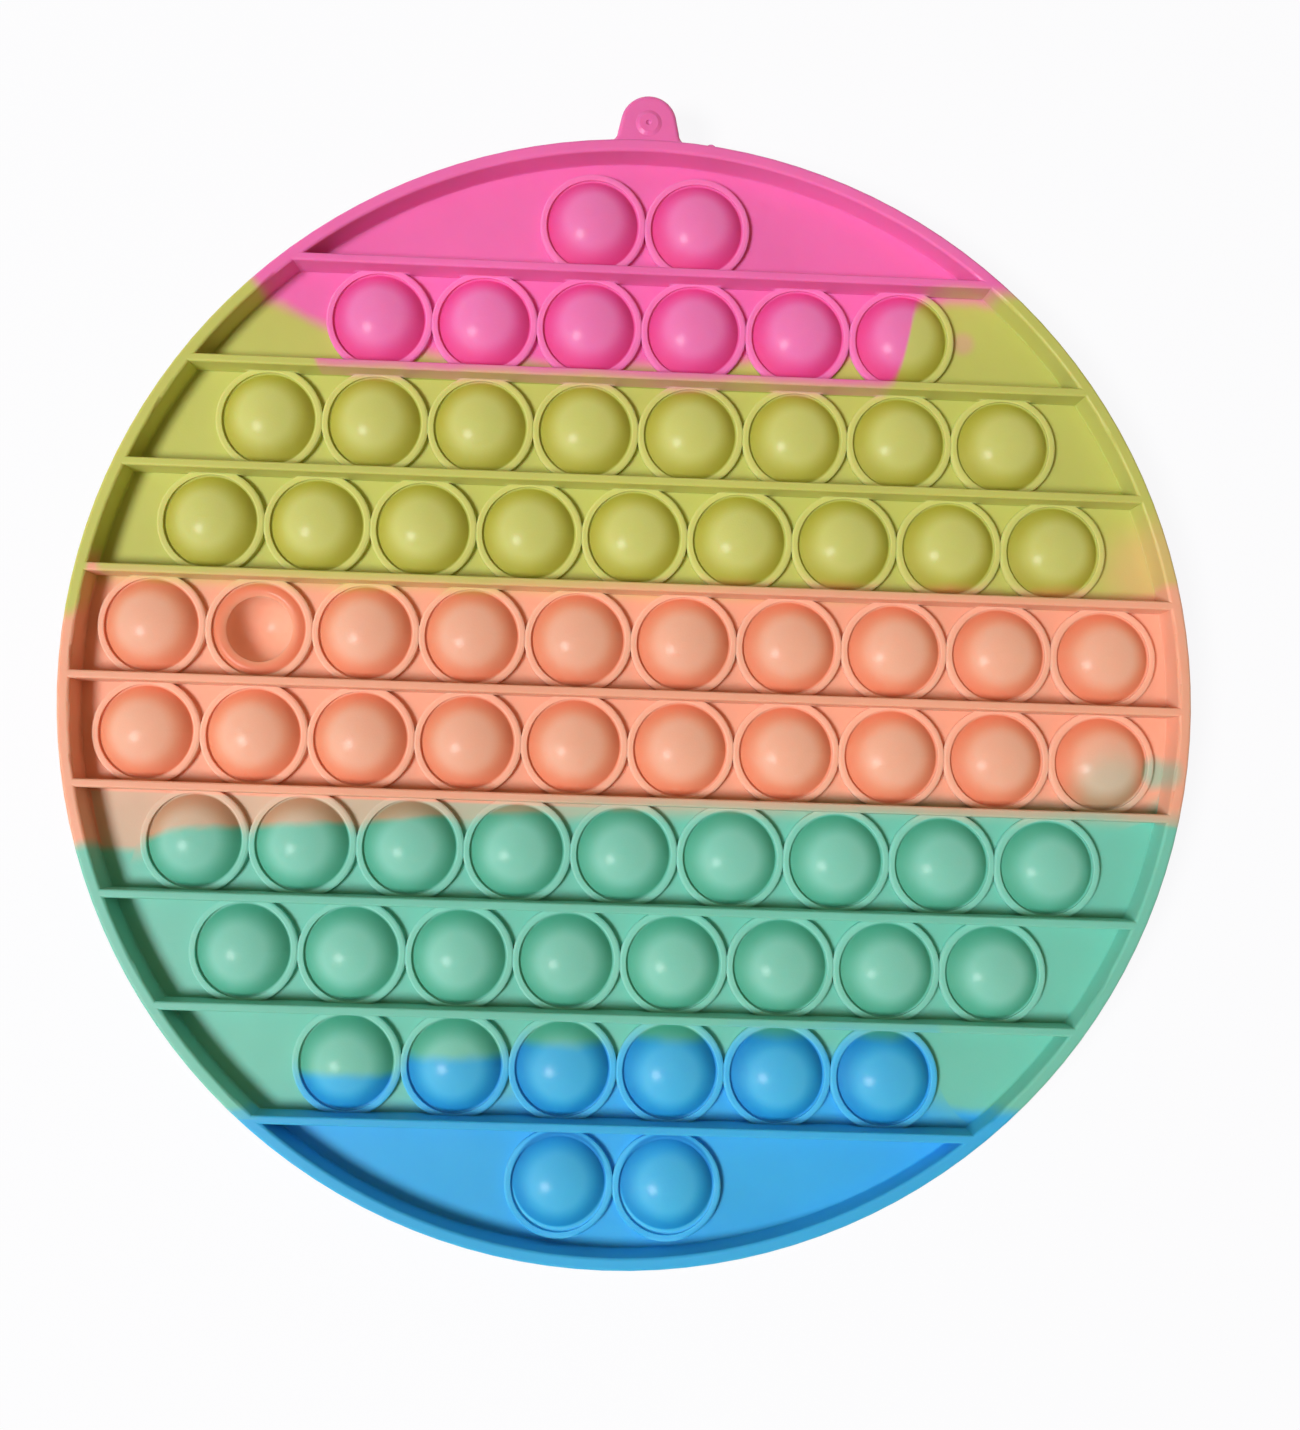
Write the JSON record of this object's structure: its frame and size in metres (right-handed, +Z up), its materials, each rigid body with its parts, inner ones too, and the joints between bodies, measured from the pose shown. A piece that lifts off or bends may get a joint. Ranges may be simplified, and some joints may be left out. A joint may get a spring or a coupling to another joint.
{
  "type": "bubble pop fidget toy",
  "caption": "Round silicone fidget board with rows of pop domes between straight ribs, a raised rim, a hanging tab and one dome pushed in.",
  "frame": {"origin": "centre of the round board, on the plane of the lower lips that it rests on", "axes": "+Z up out of the face whose domes stand proud, +Y towards the hanging tab, +X along the rows"},
  "size_m": [0.2026, 0.2111, 0.014],
  "materials": {
    "silicone": "satin, in five blended colour bands from pink through yellow green, peach and mint to blue"
  },
  "bodies": {
    "root": {"bubble_board": "silicone"}
  },
  "joints": []
}
